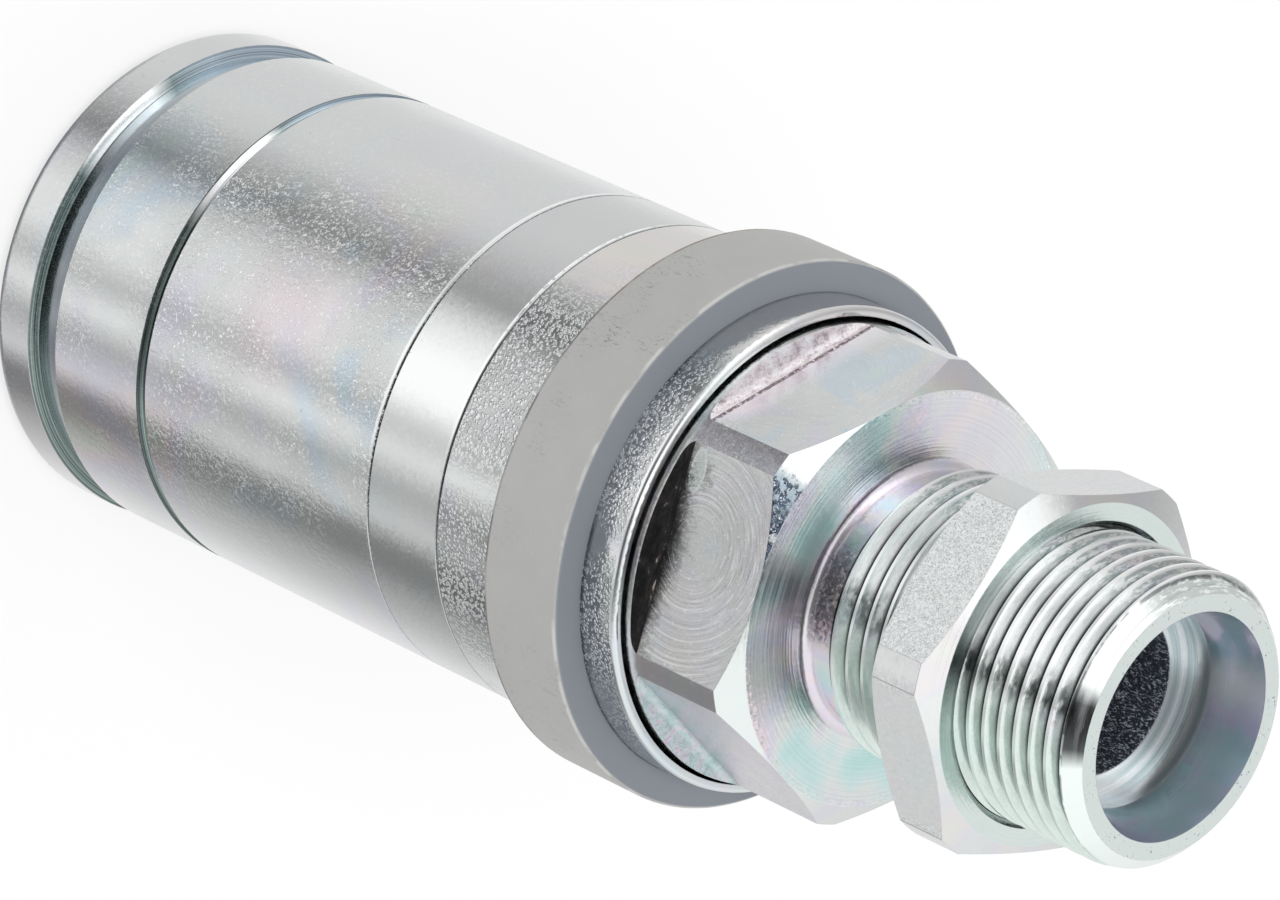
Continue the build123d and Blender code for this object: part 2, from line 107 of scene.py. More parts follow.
def make_camera():
    """The camera fitted to the circles in the photograph: its axes, its place in metres and its lens."""
    right = (-0.46114844, -0.57019888, 0.67986421)
    up = (0.52092113, -0.79423441, -0.31278247)
    back = (0.71831977, 0.20991648, 0.66328861)
    place = (0.4432632, 0.12767492, 0.46026869)
    data = bpy.data.cameras.new("camera")
    data.lens = 235.134
    data.sensor_width = 36
    data.clip_start = 0.02
    data.clip_end = 20
    camera = bpy.data.objects.new("camera", data)
    scene.collection.objects.link(camera)
    rows = [(right[i], up[i], back[i], place[i]) for i in range(3)]
    camera.matrix_world = Matrix(rows + [(0, 0, 0, 1)])
    scene.camera = camera


# ---- node helpers

# outputs of the Texture Coordinate node; generated is the direction in the world's tree
GENERATED_COORDS = 0
NORMAL_COORDS = 1
OBJECT_COORDS = 3


class Tree:
    """A few short ways to add shader nodes."""

    def __init__(self, tree):
        self.tree = tree
        self.tree.nodes.clear()

    def add(self, kind, inputs=None, out=0, **props):
        made = self.tree.nodes.new("ShaderNode" + kind)
        for name, value in props.items():
            setattr(made, name, value)
        for key, value in (inputs or {}).items():
            if isinstance(value, bpy.types.NodeSocket):
                self.tree.links.new(value, made.inputs[key])
            elif value is not None:
                made.inputs[key].default_value = value
        return made if out is None else made.outputs[out]

    def math(self, operation, a, b=None, c=None, clamp=False):
        return self.add("Math", {0: a, 1: b, 2: c}, operation=operation, use_clamp=clamp)

    def times(self, a, b):
        return self.math("MULTIPLY", a, b)

    def linear(self, a, factor, offset, clamp=False):
        """a times a factor, plus an offset. Each can be a number or a socket."""
        return self.math("MULTIPLY_ADD", a, factor, offset, clamp=clamp)

    def plus(self, a, b, clamp=False):
        return self.math("ADD", a, b, clamp=clamp)

    def minus(self, a, b, clamp=False):
        return self.math("SUBTRACT", a, b, clamp=clamp)

    def most(self, a, b):
        return self.math("MAXIMUM", a, b)

    def ramp(self, value, stops):
        """A colour ramp through stops of a position and a colour or grey value."""
        made = self.add("ValToRGB", {0: value}, out=None)
        ramp = made.color_ramp
        while len(ramp.elements) < len(stops):
            ramp.elements.new(0.5)
        for element, (position, colour) in zip(ramp.elements, stops):
            element.position = position
        for element, (position, colour) in zip(ramp.elements, stops):
            if not hasattr(colour, "__len__"):
                colour = (colour, colour, colour)
            element.color = (*colour[:3], 1)
        return made.outputs[0]

    def mix(self, factor, a, b, blend="MIX"):
        made = self.add("Mix", out=None, data_type="RGBA", blend_type=blend)
        for key, value in ((0, factor), (6, a), (7, b)):
            if isinstance(value, bpy.types.NodeSocket):
                self.tree.links.new(value, made.inputs[key])
            elif key == 0:
                made.inputs[key].default_value = value
            else:
                made.inputs[key].default_value = (*value[:3], 1)
        return made.outputs[2]

    def tint(self, colour, mask, amount, other):
        """The colour, changed to the other one by an amount where the mask is 1."""
        return self.mix(self.times(mask, amount), colour, other)

    def noise(self, vector, scale, detail=2.0, roughness=0.5, distortion=0.0):
        return self.add("TexNoise", {"Vector": vector, "Scale": scale, "Detail": detail,
                                     "Roughness": roughness, "Distortion": distortion})


def length(t, a, b):
    """The length of a line with two given legs."""
    return t.math("SQRT", t.plus(t.times(a, a), t.times(b, b)))


class Place:
    """Coordinates of a shaded point: x, y, z and radius in millimetres, and its angle in turns."""

    def __init__(self, t):
        self.t = t
        self.mm = t.add("VectorMath", {0: t.add("TexCoord", out=OBJECT_COORDS), "Scale": 1 / MM},
                        operation="SCALE")
        self.x, self.y, self.z = t.add("SeparateXYZ", {0: self.mm}, out=None).outputs
        self.r = length(t, self.x, self.y)
        self.turn = t.times(t.math("ARCTAN2", self.y, self.x), 1 / (2 * pi))

    def above(self, value, level, soft):
        """1 where value lies above a level, with a soft edge of the given width."""
        return self.t.linear(value, 1 / soft, 0.5 - level / soft, clamp=True)

    def below(self, value, level, soft):
        return self.t.linear(value, -1 / soft, 0.5 + level / soft, clamp=True)

    def between(self, value, low, high, soft):
        return self.t.times(self.above(value, low, soft), self.below(value, high, soft))

    def arc(self, low, high, soft):
        """1 between two angles in degrees."""
        return self.between(self.turn, low / 360, high / 360, soft / 360)

    def stretched(self, sx, sy, sz):
        """Coordinates for a pattern that is finer along the axes with a larger factor."""
        return self.t.add("VectorMath", {0: self.mm, 1: (sx, sy, sz)}, operation="MULTIPLY")


def moved_by(t, vector, offset):
    """A vector moved by a fixed offset, or by one value on all three axes."""
    if isinstance(offset, bpy.types.NodeSocket):
        offset = t.add("CombineXYZ", {0: offset, 1: offset, 2: offset})
    return t.add("VectorMath", {0: vector, 1: offset}, operation="ADD")


def rainbow(t, p, amount, scale, seed):
    """The thin pink, blue and mint film of the zinc plating, in slow patches over a neutral metal."""
    vector = moved_by(t, p.mm, (seed, seed * 2, seed * 3))
    slow = t.noise(vector, scale, distortion=0.8)
    fine = t.noise(vector, scale * 10, roughness=0.6)
    place = t.linear(fine, 0.16, t.linear(slow, 1.9, -0.53))
    film = t.ramp(place, [(0.0, MINT), (0.16, BLUE), (0.30, NEUTRAL), (0.50, NEUTRAL), (0.62, LAVENDER),
                          (0.74, PINK), (0.86, STRAW), (1.0, MINT)])
    return t.mix(amount, NEUTRAL, film)


def darken(t, colour, value):
    """The colour times a grey value."""
    grey = t.add("CombineColor", {0: value, 1: value, 2: value})
    return t.mix(1.0, colour, grey, blend="MULTIPLY")


def specks(t, vector, size, low, high):
    """0 to 1: small irregular specks about size millimetres across, fewer with a higher low and high."""
    shape = t.noise(vector, 0.7 / size, roughness=0.75, distortion=1.8)
    return t.linear(shape, 1 / (high - low), -low / (high - low), clamp=True)


def squiggles(t, vector, size, width, low):
    """0 to 1: short thin wavy lines about size millimetres long, where a second pattern is above low."""
    wave = t.noise(vector, 0.9 / size, detail=1.0, distortion=0.8)
    away = t.math("ABSOLUTE", t.minus(wave, 0.5))
    line = t.linear(away, -1 / width, 1.5, clamp=True)
    moved = moved_by(t, vector, (7.3, 3.1, 5.7))
    spot = t.linear(t.noise(moved, 0.75 / size, detail=0.0), 18.0, -18.0 * low, clamp=True)
    return t.times(line, spot)


def grains(t, vector, size):
    """0 in the gaps to 1 on top: rounded grains side by side, about size millimetres across."""
    warp = t.noise(vector, 1.2 / size, detail=0.0)
    moved = moved_by(t, vector, t.times(warp, 1.1 * size))
    away = t.add("TexVoronoi", {"Vector": moved, "Scale": 0.95 / size, "Randomness": 0.9}, feature="F1")
    return t.add("MapRange", {0: away, 1: 0.64, 2: 0.16, 3: 0.0, 4: 1.0}, interpolation_type="SMOOTHSTEP")


def facets(t, p, normal, size, amount):
    """Tilts the normal a little in small irregular cells, which makes a tumbled surface sparkle."""
    warp = t.noise(p.mm, 1.6 / size, detail=1.0)
    moved = moved_by(t, p.mm, t.times(warp, 2.5 * size))
    cell = t.add("TexVoronoi", {"Vector": moved, "Scale": 1 / size, "Randomness": 1.0}, out=1)
    centred = t.add("VectorMath", {0: cell, 1: (0.5, 0.5, 0.5)}, operation="SUBTRACT")
    tilted = t.add("VectorMath", {0: centred, "Scale": amount}, operation="SCALE")
    total = t.add("VectorMath", {0: normal, 1: tilted}, operation="ADD")
    return t.add("VectorMath", {0: total}, operation="NORMALIZE")


def around_axis(t, p, normal):
    """Turns a normal into the plane of the axis: exact on turned surfaces, also at a cylinder's seam."""
    out = t.add("VectorMath", {0: p.mm, 1: (1.0, 1.0, 0.0)}, operation="MULTIPLY")
    out = t.add("VectorMath", {0: out}, operation="NORMALIZE")
    size = t.add("VectorMath", {0: normal, 1: out}, out=1, operation="DOT_PRODUCT")
    flat = t.add("VectorMath", {0: out, "Scale": size}, operation="SCALE")
    rise = t.add("VectorMath", {0: normal, 1: (0.0, 0.0, 1.0)}, operation="MULTIPLY")
    total = t.add("VectorMath", {0: flat, 1: rise}, operation="ADD")
    return t.add("VectorMath", {0: total}, operation="NORMALIZE")


def metal(t, p, colour, roughness, height, bump, depth_mm=0.03, sparkle=None, sparkle_mm=0.2,
          anisotropy=0.0, edge_mm=0.08, metallic=1.0, turned=False, specular=0.5):
    """A plated metal: rounded edges, a height as bump and a sparkle of tilted cells."""
    normal = t.add("Bevel", {"Radius": edge_mm * MM}, samples=4)
    if turned:
        normal = around_axis(t, p, normal)
    normal = t.add("Bump", {"Strength": bump, "Distance": depth_mm * MM, "Height": height, "Normal": normal})
    if sparkle is not None:
        normal = facets(t, p, normal, sparkle_mm, sparkle)
    inputs = {"Base Color": colour, "Roughness": roughness, "Metallic": metallic, "Normal": normal,
              "Specular IOR Level": specular}
    if anisotropy:
        inputs["Anisotropic"] = anisotropy
        inputs["Anisotropic Rotation"] = 0.25
        inputs["Tangent"] = t.add("Tangent", direction_type="RADIAL", axis="Z")
    t.add("OutputMaterial", {0: t.add("BsdfPrincipled", inputs)}, out=None)


def rings(t, p, scale, detail=2.0):
    """Fine lathe lines: a pattern of radius and height only."""
    return t.noise(t.add("CombineXYZ", {0: p.r, 1: 0.0, 2: p.z}), scale, detail=detail, roughness=0.65)


def new_material(name):
    material = bpy.data.materials.new(name)
    material.use_nodes = True
    tree = Tree(material.node_tree)
    return material, tree, Place(tree)


# ---- materials

PINK_CLOUD = (18.2, 5.6, 31.0)


def front_sleeve_material():
    """The front sleeve: speckled barrel with painted glints, calm rim band, groove walls in painted shade
    with one painted highlight stretch each.
    """
    material, t, p = new_material("zinc_front_sleeve")
    film = t.linear(p.arc(-4, 34, 14), 0.1, t.linear(p.arc(-120, -12, 24), -0.42, 0.6))
    base = rainbow(t, p, film, scale=0.06, seed=3.0)
    # one pink cloud round a point of the barrel
    near = t.add("VectorMath", {0: p.mm, 1: PINK_CLOUD}, out=1, operation="DISTANCE")
    cloud = t.linear(t.noise(p.mm, 0.5), 5.0, near)
    base = t.tint(base, p.between(cloud, -9.0, 7.0, 5.0), 0.45, (0.86, 0.69, 0.74))
    rim = p.below(p.z, RIM_TOP, 0.03)
    wall = p.between(p.z, RIM_TOP - 0.02, WALL_TOP, 0.04)
    taper = p.between(p.z, WALL_TOP, TAPER_TOP, 0.3)
    groove = p.between(p.z, GROOVE_LOW, GROOVE_TOP, 0.05)
    seam = p.above(p.z, BAND_LOW - 0.08, 0.05)
    # lit: the stretch of the walls that gets a painted highlight
    lit = p.arc(-22, 4, 7)
    blue_side = p.arc(-150, -30, 16)
    base = t.tint(base, rim, 0.6, (0.70, 0.715, 0.71))
    lines = rings(t, p, 3.5, detail=3.0)
    blue = t.ramp(lines, [(0.35, (0.36, 0.47, 0.52)), (0.5, (0.60, 0.69, 0.74)), (0.65, (0.78, 0.83, 0.86))])
    base = t.tint(base, taper, 0.7, blue)
    # the rim wall and the groove walls: painted shade, bluish grey on one side, and a painted highlight over
    # the lit stretch
    shaded = t.ramp(lines, [(0.40, (0.045, 0.060, 0.058)), (0.52, (0.15, 0.19, 0.18)),
                            (0.64, (0.34, 0.44, 0.42))])
    bluish = t.ramp(lines, [(0.38, (0.16, 0.21, 0.27)), (0.50, (0.42, 0.52, 0.62)),
                            (0.62, (0.70, 0.80, 0.88))])
    hollow = t.mix(blue_side, shaded, bluish)
    hollow = t.mix(lit, hollow, (0.96, 0.98, 0.99))
    base = t.mix(t.plus(wall, groove, clamp=True), base, hollow)
    # painted shade in the creases at the top of the rim wall and at the foot of the groove
    crease = t.plus(p.between(p.z, WALL_TOP - 0.05, WALL_TOP + 0.09, 0.05),
                    p.between(p.z, GROOVE_LOW - 0.04, GROOVE_LOW + 0.08, 0.04), clamp=True)
    base = t.tint(base, crease, 0.85, (0.03, 0.045, 0.05))
    base = t.tint(base, seam, 0.85, SEAM)
    plain = t.plus(t.plus(wall, groove), taper, clamp=True)
    patches = p.above(t.noise(p.mm, 0.13), 0.46, 0.25)
    busy = t.times(t.linear(rim, -0.6, 1.0), t.linear(patches, 0.8, 0.2))
    busy = t.times(busy, t.linear(plain, -0.85, 1.0))
    # painted glints: short white squiggles, less metallic, mostly on the front arcs, and a painted highlight
    # line below the band
    painted_glints = squiggles(t, p.mm, 0.30, 0.030, 0.565)
    fine = squiggles(t, p.stretched(1.9, 1.9, 2.1), 0.34, 0.050, 0.575)
    front = t.linear(p.arc(-20, 56, 16), 0.75, 0.25)
    painted_glints = t.times(t.most(painted_glints, t.times(fine, 0.8)), t.times(busy, front))
    line = t.times(p.between(p.z, BAND_LOW - 0.46, BAND_LOW - 0.18, 0.06), p.arc(-60, 34, 12))
    painted_glints = t.most(painted_glints, t.times(line, 0.8))
    pits = specks(t, p.stretched(1.0, 1.0, 0.7), 0.26, low=0.70, high=0.75)
    # painted shade: a slightly darker base where the painted glints lie; the pits are real
    dull = t.times(t.times(busy, front), p.arc(-2, 56, 12))
    texture_and_painted_light = darken(t, base, t.linear(pits, -0.35, t.linear(dull, -0.11, 1.0)))
    texture_and_painted_light = t.tint(texture_and_painted_light, painted_glints, 0.95, (0.98, 0.98, 0.98))
    soft = t.noise(p.mm, 2.4, roughness=0.6)
    height = t.linear(rings(t, p, 7.0), 0.05, t.times(t.linear(painted_glints, 0.35, soft), busy))
    metal(t, p, texture_and_painted_light, 0.13, height=height, bump=1.0, anisotropy=0.25, edge_mm=0.1, turned=True,
          metallic=t.linear(painted_glints, -0.6, 1.0))
    return material


def band_material():
    """The clamped ring: smooth ground metal between two dark seams, with a painted highlight stretch, a
    painted highlight line and painted shade on two sides.
    """
    material, t, p = new_material("zinc_band")
    base = rainbow(t, p, 0.3, scale=0.07, seed=41.0)
    base = t.mix(0.5, base, (0.84, 0.86, 0.85))
    # painted shade on two sides and a painted highlight stretch between them
    base = darken(t, base, t.linear(t.most(p.arc(-100, -14, 12), p.arc(30, 120, 14)), -0.14, 1.0))
    base = t.tint(base, p.arc(-7, 26, 8), 0.9, WHITE)
    seams = t.plus(p.below(p.z, BAND_LOW + 0.08, 0.05), p.above(p.z, BAND_TOP - 0.08, 0.05), clamp=True)
    base = t.tint(base, seams, 0.85, SEAM)
    # a painted highlight line along the upper seam, broken by noise
    line = t.times(p.between(p.z, BAND_TOP - 0.38, BAND_TOP - 0.16, 0.06), p.arc(-50, 24, 16))
    rough_edge = p.above(t.noise(p.mm, 1.4), 0.40, 0.1)
    line = t.times(line, rough_edge)
    base = t.tint(base, line, 0.9, WHITE)
    edges = t.plus(p.below(p.z, BAND_LOW + 0.5, 0.5), p.above(p.z, BAND_TOP - 0.5, 0.5), clamp=True)
    dots = specks(t, p.mm, 0.2, low=0.60, high=0.70)
    tilt = t.linear(dots, t.linear(edges, 0.5, 0.15), 0.03)
    metal(t, p, base, 0.17, height=rings(t, p, 8.0), bump=0.06, sparkle=tilt, anisotropy=0.4, turned=True,
          metallic=t.linear(line, -0.8, 1.0))
    return material


def rear_sleeve_material():
    """The rear sleeve: hammered sparkle with painted highlights on the grain tops and painted highlight
    stretches, a calm rounded end, and painted shade where the rubber starts and ends.
    """
    material, t, p = new_material("zinc_rear_sleeve")
    base = rainbow(t, p, 0.35, scale=0.09, seed=43.0)
    seam = p.below(p.z, BAND_TOP + 0.08, 0.05)
    base = t.tint(base, seam, 0.85, SEAM)
    # painted shade: a dark ring where the rubber ends against the tail
    dark_ring_at_rubber_edge = p.between(p.z, RUBBER_TOP - 0.3, RUBBER_TOP + 0.32, 0.25)
    base = t.tint(base, dark_ring_at_rubber_edge, 0.8, (0.05, 0.055, 0.06))
    tail = p.above(p.z, RUBBER_TOP, 0.1)
    end = p.above(p.z, SLEEVE_TOP - 0.45, 0.15)
    away = t.minus(1.0, p.arc(-10, 34, 12))
    base = t.tint(base, t.times(tail, away), 0.35, (0.66, 0.74, 0.80))
    # a painted highlight on the tail over one arc
    base = t.mix(t.times(tail, p.arc(-4, 26, 10)), base, (0.93, 0.95, 0.97))
    # painted shade where the rubber starts
    contact_shade = p.between(p.z, RUBBER_LOW - 0.28, RUBBER_LOW + 0.4, 0.2)
    base = t.tint(base, contact_shade, 0.8, (0.07, 0.075, 0.075))
    patches = p.above(t.noise(p.mm, 0.14), 0.50, 0.2)
    front = t.most(p.arc(-14, 27, 10), p.arc(38, 66, 8))
    hidden = t.most(p.arc(70, 181, 20), p.arc(-181, -70, 20))
    rough = t.linear(front, 0.85, t.times(t.linear(hidden, 0.5, 0.12), patches), clamp=True)
    rough = t.times(rough, t.linear(end, -0.97, 1.0))
    warm = t.times(p.arc(-70, -16, 12), p.above(p.z, BAND_TOP + 0.1, 0.1))
    base = t.tint(base, warm, 0.45, (0.80, 0.74, 0.70))
    cells = grains(t, p.mm, 0.29)
    gaps = t.linear(cells, -2.6, 1.0, clamp=True)
    # a painted highlight stretch on the sleeve
    lit = p.arc(0, 26, 8)
    base = t.tint(base, lit, 0.6, (0.95, 0.96, 0.96))
    texture_and_painted_light = darken(t, base, t.linear(t.times(gaps, rough), -0.42, 1.0))
    tops = t.times(cells, rough)
    # painted highlights on the grain tops, less metallic
    white = t.times(p.between(cells, 0.42, 0.80, 0.2), rough)
    texture_and_painted_light = t.tint(texture_and_painted_light, white, 0.8, WHITE)
    slow = t.noise(p.mm, 0.9)
    height = t.linear(slow, 0.5, tops)
    metal(t, p, texture_and_painted_light, 0.12, height=height, bump=1.0, depth_mm=0.05, edge_mm=0.12, turned=True,
          metallic=t.linear(white, -0.25, 1.0))
    return material


def rubber_material():
    """Light grey rubber with a fine bloom, faint scuffs and moulding grain, a painted highlight along the
    upper edge, a darker ring at the lower edge and an end face in painted shade.
    """
    material, t, p = new_material("rubber_grey")
    grain = t.noise(p.mm, 9.0, detail=4.0, roughness=0.65)
    bloom = t.noise(p.mm, 0.35)
    tone = t.plus(t.times(grain, 0.35), t.linear(bloom, 0.30, 0.18))
    colour = t.ramp(tone, [(0.3, (0.360, 0.357, 0.348)), (0.55, (0.394, 0.392, 0.384)),
                           (0.75, (0.425, 0.423, 0.415))])
    rubbed = p.above(t.noise(p.mm, 0.18), 0.53, 0.1)
    light = specks(t, p.stretched(0.6, 0.6, 2.2), 0.34, low=0.68, high=0.72)
    colour = t.tint(colour, light, 0.3, (0.62, 0.62, 0.61))
    scuff = specks(t, p.stretched(1.6, 1.6, 0.45), 0.30, low=0.60, high=0.66)
    colour = t.tint(colour, t.times(scuff, rubbed), 0.7, (0.15, 0.15, 0.15))
    broken = p.above(t.noise(p.mm, 0.45, detail=3.0), 0.48, 0.12)
    # a painted highlight along the upper edge, broken by noise
    painted_edge_highlight = t.times(p.between(p.z, RUBBER_TOP - 0.32, RUBBER_TOP - 0.12, 0.1), broken)
    colour = t.tint(colour, painted_edge_highlight, 0.6, (0.60, 0.60, 0.58))
    # a darker broken ring at the lower edge, brownish on one side
    dark_ring_at_rubber_edge = t.times(p.between(p.z, RUBBER_LOW - 0.6, RUBBER_LOW + 0.4, 0.12), t.linear(broken, 0.6, 0.4))
    lower_ring_colour = t.mix(p.arc(-90, -14, 16), (0.10, 0.10, 0.10), (0.17, 0.10, 0.06))
    colour = t.tint(colour, dark_ring_at_rubber_edge, 0.85, lower_ring_colour)
    # painted shade: the end face darker and bluer than the sides
    end = p.above(p.z, RUBBER_TOP - 0.08, 0.05)
    colour = t.mix(end, colour, (0.225, 0.245, 0.275))
    normal = around_axis(t, p, t.add("Bevel", {"Radius": 0.15 * MM}, samples=4))
    normal = t.add("Bump", {"Strength": 0.25, "Distance": 0.03 * MM, "Height": grain, "Normal": normal})
    shader = t.add("BsdfPrincipled",
                   {"Base Color": colour, "Roughness": 0.5, "Specular IOR Level": 0.4, "Normal": normal,
                    "Sheen Weight": 0.1, "Sheen Roughness": 0.5})
    t.add("OutputMaterial", {0: shader}, out=None)
    return material


# the oval mark on the flat that faces the camera: its place across the flat and half its length and width
MARK_ACROSS = -6.1
MARK_LONG = 1.7
MARK_WIDE = 0.75


def milled_material():
    """The milled flats: circles left by the cutter, specks, painted glints, and painted shade that differs
    from flat to flat.
    """
    material, t, p = new_material("zinc_milled")
    base = rainbow(t, p, 0.55, scale=0.10, seed=7.0)
    # place across one flat: the angle is folded into one sixth of a turn
    fold = t.minus(t.math("FRACT", t.times(p.turn, FLATS)), 0.5)
    across = t.times(p.r, t.math("SINE", t.times(fold, 2 * pi / FLATS)))
    # the cutter's circles run round one point of the flat
    away = length(t, t.plus(across, 1.0), t.minus(p.z, SHOULDER_TOP + 2.4))
    near = p.arc(0, 60, 1)
    near_low = p.arc(60, 120, 1)
    swirl = t.noise(t.add("CombineXYZ", {0: away, 1: t.times(fold, 1.4)}), 5.2, detail=2.5, roughness=0.7)
    ridge = t.times(p.above(swirl, 0.60, 0.06), near)
    swirl = t.minus(swirl, 0.5)
    strength = t.times(p.above(away, 2.2, 1.6), t.linear(near, 0.8, 0.2))
    swirl = t.times(swirl, strength)
    patches = t.noise(p.mm, 0.16)
    # painted shade: the flat facing the camera darker grey, the next flat a lighter lavender grey
    base = t.tint(base, near, 0.6, (0.47, 0.48, 0.48))
    base = t.tint(base, near_low, 0.6, (0.60, 0.57, 0.63))
    # an oval mark left by the cutter, with a bright rim
    mark_a = t.linear(across, 1 / MARK_LONG, -MARK_ACROSS / MARK_LONG)
    mark_b = t.linear(p.z, 1 / MARK_WIDE, -(SHOULDER_TOP + 0.8) / MARK_WIDE)
    off_mark = length(t, mark_a, mark_b)
    mark = t.times(p.below(off_mark, 1.0, 0.12), near)
    rim = t.times(p.between(off_mark, 0.80, 1.0, 0.12), near)
    texture_and_painted_light = darken(t, base, t.linear(swirl, 0.9, t.linear(patches, 0.3, 0.85)))
    texture_and_painted_light = t.tint(texture_and_painted_light, t.times(ridge, strength), 0.55, (0.80, 0.81, 0.80))
    texture_and_painted_light = t.tint(texture_and_painted_light, mark, 0.75, (0.52, 0.58, 0.56))
    texture_and_painted_light = t.tint(texture_and_painted_light, rim, 0.4, (0.82, 0.85, 0.84))
    upper = p.arc(-60, 0, 2)
    haze = t.times(upper, t.linear(p.z, -0.45, 0.45 * SHOULDER_TOP + 1.06, clamp=True))
    texture_and_painted_light = t.tint(texture_and_painted_light, haze, 0.8, (0.95, 0.91, 0.97))
    # torn, darker metal just above the foot of the flat
    slow = t.noise(p.mm, 0.35, detail=1.0)
    torn = t.noise(p.stretched(1.9, 1.9, 0.8), 1.5, detail=4.0, roughness=0.75, distortion=0.5)
    reach = t.linear(t.minus(SHOULDER_TOP + 1.7, p.z), 0.11, t.linear(slow, 0.7, -0.35))
    torn = p.above(t.plus(reach, torn), 0.64, 0.22)
    torn = t.times(torn, t.linear(near, 0.8, 0.2))
    torn = t.times(torn, t.linear(mark, -0.85, 1.0))
    foot = p.below(p.z, SHOULDER_TOP, 0.5)
    scar = t.mix(foot, (0.20, 0.195, 0.195), (0.10, 0.06, 0.05))
    scar = t.mix(upper, scar, (0.72, 0.60, 0.62))
    texture_and_painted_light = t.tint(texture_and_painted_light, torn, 0.7, scar)
    # a broken dark line along the foot of the upper flat
    crumbs = p.above(t.noise(p.mm, 3.2, roughness=0.7), 0.44, 0.08)
    seam = t.times(t.times(p.below(p.z, SHOULDER_TOP + 0.22, 0.12), crumbs), upper)
    texture_and_painted_light = t.tint(texture_and_painted_light, seam, 0.85, (0.10, 0.065, 0.055))
    # white specks: painted glints
    dots = specks(t, p.mm, 0.16, low=0.60, high=0.66)
    texture_and_painted_light = t.tint(texture_and_painted_light, dots, 0.6, (0.95, 0.95, 0.95))
    tilt = t.linear(dots, 0.3, t.times(p.above(patches, 0.5, 0.2), 0.12))
    metal(t, p, texture_and_painted_light, 0.26, height=swirl, bump=1.0, depth_mm=0.05, sparkle=tilt, edge_mm=0.1)
    return material


def shoulder_material():
    """The walls at the foot of the flats: torn by the cutter, with painted shade near black on one flat and
    painted light pale rosy on the next.
    """
    material, t, p = new_material("zinc_shoulder")
    lines = t.noise(p.stretched(0.5, 0.5, 3.0), 1.6, detail=3.0, roughness=0.7)
    dark = t.ramp(lines, [(0.40, (0.012, 0.012, 0.013)), (0.62, (0.030, 0.028, 0.027)),
                          (0.70, (0.36, 0.30, 0.26))])
    rosy = t.ramp(lines, [(0.30, (0.52, 0.46, 0.48)), (0.42, (0.84, 0.77, 0.80)), (0.60, (0.97, 0.95, 0.97))])
    grit = specks(t, p.mm, 0.22, low=0.58, high=0.64)
    rosy = t.tint(rosy, grit, 0.7, (0.38, 0.30, 0.31))
    teal = t.ramp(lines, [(0.38, (0.50, 0.66, 0.66)), (0.55, (0.66, 0.72, 0.74)), (0.70, (0.74, 0.62, 0.76))])
    # painted shade near black on the wall at the flat facing the camera; painted light pale rosy on the wall
    # of the upper flat; teal on the rest
    shade = t.mix(p.arc(0, 60, 4), teal, dark)
    shade = t.mix(p.arc(-60, 0, 4), shade, rosy)
    share = t.minus(1.0, p.arc(-2, 62, 4))
    metal(t, p, shade, 0.55, height=lines, bump=0.9, depth_mm=0.06, sparkle=0.35, sparkle_mm=0.22,
          metallic=share, specular=0.05)
    return material


def chamfer_material():
    """The hexagon's chamfers: brushed, white on one corner as a painted highlight, and dark blue with specks
    beside it.
    """
    material, t, p = new_material("zinc_chamfer")
    base = rainbow(t, p, 0.5, scale=0.12, seed=47.0)
    base = t.tint(base, p.arc(40, 82, 10), 0.7, (0.80, 0.87, 0.85))
    # a painted highlight: one corner's chamfer white
    base = t.mix(p.arc(-24, 1, 3), base, (0.95, 0.97, 0.97))
    steel_blue = p.arc(1, 14, 3)
    base = t.tint(base, steel_blue, 0.8, (0.42, 0.54, 0.62))
    navy = t.times(p.arc(8, 36, 8), p.above(t.noise(p.mm, 0.7, detail=3.0), 0.40, 0.12))
    navy = t.most(navy, t.times(steel_blue, p.above(t.noise(p.mm, 2.2), 0.52, 0.05)))
    dots = specks(t, p.mm, 0.18, low=0.58, high=0.64)
    base = t.mix(navy, base, t.mix(dots, (0.09, 0.12, 0.17), (0.85, 0.90, 0.93)))
    metal(t, p, base, 0.2, height=rings(t, p, 5.0, detail=3.0), bump=0.5, sparkle=t.linear(navy, 0.4, 0.05))
    return material


def fan(t, p):
    """Tints that run outwards over a turned face, as the film shows on lathe rings."""
    angle = t.times(p.turn, 2 * pi)
    spot = t.add("CombineXYZ", {0: t.math("COSINE", angle), 1: t.math("SINE", angle),
                                2: t.linear(p.r, 0.10, 3.1)})
    return t.ramp(t.noise(spot, 1.7),
                  [(0.30, (0.52, 0.80, 0.78)), (0.42, (0.64, 0.84, 0.84)), (0.50, (0.80, 0.83, 0.82)),
                   (0.58, (0.78, 0.75, 0.88)), (0.66, (0.88, 0.76, 0.82)), (0.76, (0.85, 0.83, 0.76))])


